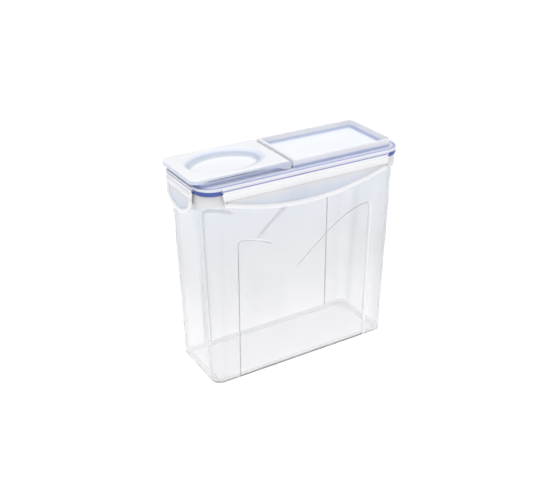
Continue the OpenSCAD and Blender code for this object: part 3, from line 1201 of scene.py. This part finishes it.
    def build(self, finish: bpy.types.Material) -> None:
        """Models, joins, dresses and hands over the lid.

        Args:
            finish: Half-clear plastic, matt on the tray's floor, with the seal's blue painted on where it shows
                through and painted shade at its edges.
        """
        lid = self.body()
        for ledge in self.ledges():
            combine(lid, ledge, Solver.JOIN)
        combine(lid, self.tray_block(), Solver.JOIN)
        combine(lid, self.curb_ring(), Solver.JOIN)
        hole = [self.mouth.ring(2.0, z) for z in (self.deck - 4, self.deck + 1)]
        combine(lid, solid("hole", hole), Solver.CUT)
        combine(lid, self.neck(), Solver.JOIN)
        for side in (-1, 1):
            combine(lid, self.lug(side), Solver.JOIN)
        combine(lid, barrel("bore", *self.pin, self.bore_r, -45, 45), Solver.CUT)
        smooth(lid, 45)
        dress(lid, finish)
        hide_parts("lid")
        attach(lid, "lid")
        report(lid)


@dataclass
class PourCap:
    """The flip cap: a plate with a skirt on three sides, a sunken dish, its plug and two hinge pins."""

    mouth: PourMouth = field(default_factory=PourMouth)
    free_end: float = -125.1
    half_w: float = 37.0
    corner: float = 9.0
    top: float = 237.0
    plate: float = 2.2
    skirt: float = 1.8
    pin: Pair = (-18.6, 232.4)
    pin_r: float = 1.1
    pin_y: Pair = (32.3, 35.7)
    nose_r: float = 4.45
    cheek_r: float = 4.0
    plug_low: float = 227.4
    dish_low: float = 229.2
    dish_wall: tuple[Triple, ...] = (
        (3.9, -1.0, 1.4), (3.75, -0.02, 1.4), (3.4, 0.3, 1.4), (3.0, 0.42, 1.4), (1.2, 0.75, 0.8), (0.0, 1.15, 0.4),
        (-1.0, 1.7, 0.0), (-1.9, 2.6, 0.0))
    dish_foot: tuple[Pair, ...] = ((-3.0, 2.6), (-3.8, 1.2), (-4.8, 0.35), (-6.2, 0.0), (-9.0, 0.0))
    edge_view: tuple[Pair, ...] = (
        (-24.6, 229.6), (-28.6, 231.4), (-35.6, 232.8), (-47.6, 233.8), (-72.0, 234.2), (-105.1, 234.0),
        (-117.1, 233.0), (-126.1, 232.5))

    def outline(self, inwards: float, z: float) -> Loop:
        """Draws the cap's outline at a height, inwards from its edge."""
        return round_rect(self.free_end + inwards, 6, self.half_w - inwards, 0.5, z, left=self.corner - inwards)

    def plate_and_skirt(self) -> bpy.types.Object:
        """Models the plate with its skirt, rounded along every outer edge and about the hinge.

        Returns:
            The plate with its skirt.
        """
        top, low = self.top, self.top - 12
        skin = Skin("pour_cap_shell", self.outline(0, low))
        skin.grow(self.outline(0, top - 1.1), self.outline(0.1, top - 0.6), self.outline(0.4, top - 0.2),
                  self.outline(1.0, top), self.outline(6.0, top))
        cap = skin.cap().cap_start().finish()
        under = top - self.plate
        x, z = self.pin
        turn = math.degrees(math.asin((under - z) / self.nose_r))
        cheek = math.degrees(math.asin((under - z) / self.cheek_r))
        view = [(-127.0, top + 1), (x - 0.6, top + 1), *arc((x, z), self.nose_r, 90, turn, 8),
                *arc((x, z), self.cheek_r, cheek, -90, 16), *self.edge_view, (-127.0, 232.5)]
        prism = [side_view(view, y) for y in (-60, 60)]
        combine(cap, solid("side", prism), Solver.KEEP)
        hollow = [round_rect(self.free_end + self.skirt + d, 20, self.half_w - self.skirt - d, 0.5, z,
                             left=self.corner - self.skirt - d)
                  for d, z in ((0, low - 2), (0, under - 0.7), (0.2, under - 0.2), (0.7, under))]
        combine(cap, solid("hollow", hollow), Solver.CUT)
        return cap

    def plug(self) -> bpy.types.Object:
        """Models the plug under the dish, its lower edge rounded.

        Returns:
            The plug.
        """
        ring, low = self.mouth.ring, self.plug_low
        loops = [ring(0, self.top - 0.8), ring(0, low + 1.2), ring(-0.3, low + 0.4), ring(-1.0, low),
                 ring(-5, low)]
        return solid("plug", loops)

    def dish(self) -> bpy.types.Object:
        """Models what is scooped out of the plug: a step, a slanted wall and a rounded floor edge.

        Returns:
            The scoop.
        """
        loops = [self.mouth.ring(out, self.top - below, shift) for out, below, shift in self.dish_wall]
        loops += [self.mouth.ring(out, self.dish_low + above) for out, above in self.dish_foot]
        return solid("dish", loops)

    def build(self, finish: bpy.types.Material) -> None:
        """Models, joins, dresses and hands over the cap.

        Args:
            finish: Milky plastic, with painted shade on its sides and edges.
        """
        cap = self.plate_and_skirt()
        combine(cap, self.plug(), Solver.JOIN)
        combine(cap, self.dish(), Solver.CUT)
        for side in (-1, 1):
            y0, y1 = sorted(side * y for y in self.pin_y)
            combine(cap, barrel("pin", *self.pin, self.pin_r, y0, y1, 0.15), Solver.JOIN)
        smooth(cap, 45)
        dress(cap, finish)
        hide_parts("pour_cap")
        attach(cap, "pour_cap")
        report(cap)


@dataclass
class Seals:
    """The two blue rings: one under the lid's flange, one round the pour cap's plug."""

    mouth: PourMouth = field(default_factory=PourMouth)
    inner_l: float = 114.7
    inner_w: float = 40.6
    inner_r: float = 13.7
    outer_l: float = 120.05
    outer_r: float = 19.1
    low: float = 220.8
    high: float = 225.0
    ring_out: float = 1.2
    ring_low: float = 229.8
    ring_high: float = 231.8

    def lid_ring(self) -> bpy.types.Object:
        """Models the ring under the flange, with a rounded lip.

        Returns:
            The ring.
        """
        def at(out: float, z: float) -> Loop:
            """Draws the ring's outline, out from the skirt by out."""
            share = out / (self.outer_l - self.inner_l)
            return round_rect(-self.inner_l - out, self.inner_l + out,
                              self.inner_w + out, self.inner_r + (self.outer_r - self.inner_r) * share, z)

        wide = self.outer_l - self.inner_l
        low, high = self.low, self.high
        profile = [(0.02, high), (wide - 0.5, high), (wide - 0.1, high - 0.3), (wide, high - 0.9), (wide, low + 1.1),
                   (wide - 0.15, low + 0.45), (wide - 0.6, low + 0.05), (wide - 1.2, low), (0.5, low),
                   (0.1, low + 0.2), (0.02, low + 0.7)]
        return tube("lid_seal", [at(out, z) for out, z in profile])

    def cap_ring(self) -> bpy.types.Object:
        """Models the ring round the plug, with two lips.

        Returns:
            The ring.
        """
        low, high, out = self.ring_low, self.ring_high, self.ring_out
        middle = (low + high) / 2
        profile = [(0.02, high), (out - 0.25, high), (out, high - 0.3), (out - 0.1, high - 0.65),
                   (out - 0.4, middle), (out - 0.1, low + 0.65), (out, low + 0.3), (out - 0.25, low), (0.02, low)]
        return tube("cap_seal", [self.mouth.ring(d, z) for d, z in profile])

    def build(self, finish: bpy.types.Material) -> None:
        """Models, dresses and hands over both rings.

        Args:
            finish: Blue silicone, darker towards its bottom by painted shade.
        """
        for piece, node, body in ((self.lid_ring(), "lid_gasket", "lid"), (self.cap_ring(), "cap_gasket", "pour_cap")):
            smooth(piece, 40, weighted=False)
            dress(piece, finish)
            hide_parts(node)
            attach(piece, body)
            report(piece)


# ---------------------------------------------------------------------------------------------
# The studio
# ---------------------------------------------------------------------------------------------


@dataclass
class Studio:
    """Camera, plain pale floor and soft light, in metres and watts."""

    eye: Triple = (-0.4444, -0.7184, 0.5494)
    ahead: Triple = (0.46309, 0.75867, -0.45821)
    lens: float = 55.48
    sensor: float = 36.0
    floor_size: float = 14.0
    floor_tints: tuple[Triple, Triple] = ((0.16, 0.16, 0.17), (0.18, 0.18, 0.19))
    floor_glow: float = 1.08
    floor_z: float = -0.0002
    sky: tuple[tuple[float, Triple], ...] = (
        (0.0, (0.55, 0.56, 0.62)), (0.5, (0.62, 0.63, 0.70)), (0.62, (0.78, 0.79, 0.84)), (0.8, (1.0, 1.0, 1.0)))
    sky_strength: float = 0.6
    aim: Triple = (0.0, 0.0, 0.12)
    lamps: tuple[tuple[str, Triple, Pair, float], ...] = (
        ("overhead", (0.1, 0.2, 2.0), (2.6, 2.2), 31), ("front", (-0.9, -1.8, 1.0), (1.4, 1.0), 6))
    bounces: int = 32
    glossy_bounces: int = 8

    def camera(self) -> None:
        """Adds the camera and makes it the scene's."""
        data = bpy.data.cameras.new("camera")
        data.lens, data.sensor_width = self.lens, self.sensor
        data.clip_start, data.clip_end = 0.01, 50.0
        camera = bpy.data.objects.new("camera", data)
        camera.location = self.eye
        camera.rotation_euler = Vector(self.ahead).to_track_quat("-Z", "Y").to_euler()
        bpy.context.scene.collection.objects.link(camera)
        bpy.context.scene.camera = camera

    def floor(self) -> None:
        """Adds the floor, white and faintly glossy."""
        deselect()
        bpy.ops.mesh.primitive_plane_add(size=self.floor_size, location=(0, 0, self.floor_z))
        floor = bpy.context.object
        floor.name = "floor"
        material = bpy.data.materials.new("pale_floor")
        material.use_nodes = True
        graph = Graph(material.node_tree)
        point, _ = graph.where()
        mottle = graph.noise(point, 3.0)
        shader = graph.principled({
            "Base Color": graph.mix(mottle, *self.floor_tints), "Roughness": mottle * 0.06 + 0.16, "IOR": 1.35,
            "Emission Color": (1.0, 1.0, 1.0, 1.0), "Emission Strength": self.floor_glow})
        graph.add("ShaderNodeOutputMaterial", {}, {"Surface": shader})
        floor.data.materials.append(material)

    def lamp(self, name: str, place_at: Triple, size: Pair, power: float) -> None:
        """Adds a white softbox that faces the dispenser.

        Args:
            name: Its name.
            place_at: Where it hangs.
            size: Width and height.
            power: Watts.
        """
        data = bpy.data.lights.new(name, "AREA")
        data.shape, data.size, data.size_y = "RECTANGLE", *size
        data.energy = power
        lamp = bpy.data.objects.new(name, data)
        lamp.location = place_at
        lamp.rotation_euler = (Vector(self.aim) - Vector(place_at)).to_track_quat("-Z", "Y").to_euler()
        bpy.context.scene.collection.objects.link(lamp)

    def world(self) -> None:
        """Lights the room evenly, a little darker towards the horizon."""
        world = bpy.data.worlds.new("studio")
        bpy.context.scene.world = world
        world.use_nodes = True
        graph = Graph(world.node_tree)
        up = graph.axis(graph.add("ShaderNodeTexCoord", output="Generated"), 2)
        sky = graph.add("ShaderNodeValToRGB", {"stops": self.sky}, {0: up * 0.5 + 0.5})
        background = graph.add("ShaderNodeBackground", {}, {"Color": sky, "Strength": self.sky_strength})
        graph.add("ShaderNodeOutputWorld", {}, {"Surface": background})

    def build(self) -> None:
        """Sets up the studio."""
        self.camera()
        self.floor()
        self.world()
        for lamp in self.lamps:
            self.lamp(*lamp)
        scene = bpy.context.scene
        scene.view_settings.view_transform = "Standard"
        scene.cycles.max_bounces = scene.cycles.transmission_bounces = self.bounces
        scene.cycles.glossy_bounces = self.glossy_bounces


def main() -> None:
    """Builds the dispenser piece by piece, then the studio."""
    logging.basicConfig(level=logging.INFO, format="%(name)s %(message)s")
    wall, edge, foot, collar, lid, milky, pocket, cap, navy = (
        finish.make() for finish in (WALL, PANEL_EDGE_HIGHLIGHT, FOOT, COLLAR, CLEAR_LID, MILKY_SHADED, POCKET_SHADE, CAP_MILK_SHADED, NAVY))
    Container().build(wall, edge, foot, collar)
    Lid().build(lid)
    PourCap().build(cap)
    Latches().build(milky, pocket)
    Seals().build(navy)
    Studio().build()
    deselect()


if __name__ == "__main__":
    main()
